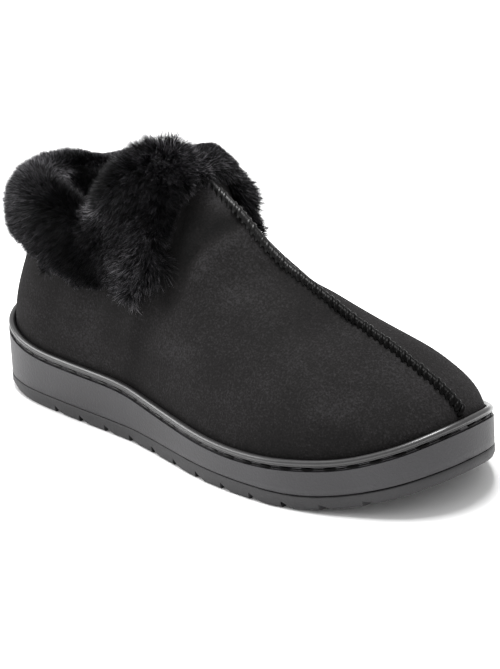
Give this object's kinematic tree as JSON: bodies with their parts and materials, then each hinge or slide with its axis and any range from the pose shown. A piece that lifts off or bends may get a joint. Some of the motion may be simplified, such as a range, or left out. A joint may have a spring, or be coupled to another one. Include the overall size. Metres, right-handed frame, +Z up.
{
  "type": "bootie slipper",
  "caption": "Low bootie slipper in black suede cloth with a raised centre seam, a deep folded fur cuff and a dark moulded rubber cup sole.",
  "frame": {"origin": "on the floor, under the middle of the sole's length and width", "axes": "+X to the toe, +Y to the wearer's left, which is the inner side of this right shoe, +Z up"},
  "size_m": [0.27, 0.1039, 0.1315],
  "materials": {
    "outsole_rubber": "matte moulded rubber with a fine grain",
    "sidewall_rubber": "satin moulded rubber with a fine grain",
    "welt_rubber": "glossy moulded rubber",
    "footbed_cloth": "short pile",
    "suede_cloth": "brushed suede nap",
    "faux_fur": "deep dense fur"
  },
  "bodies": {
    "root": {"outsole": "outsole_rubber", "midsole": "sidewall_rubber", "welt": "welt_rubber", "insole": "footbed_cloth", "upper": "suede_cloth", "cuff": "faux_fur"}
  },
  "joints": []
}
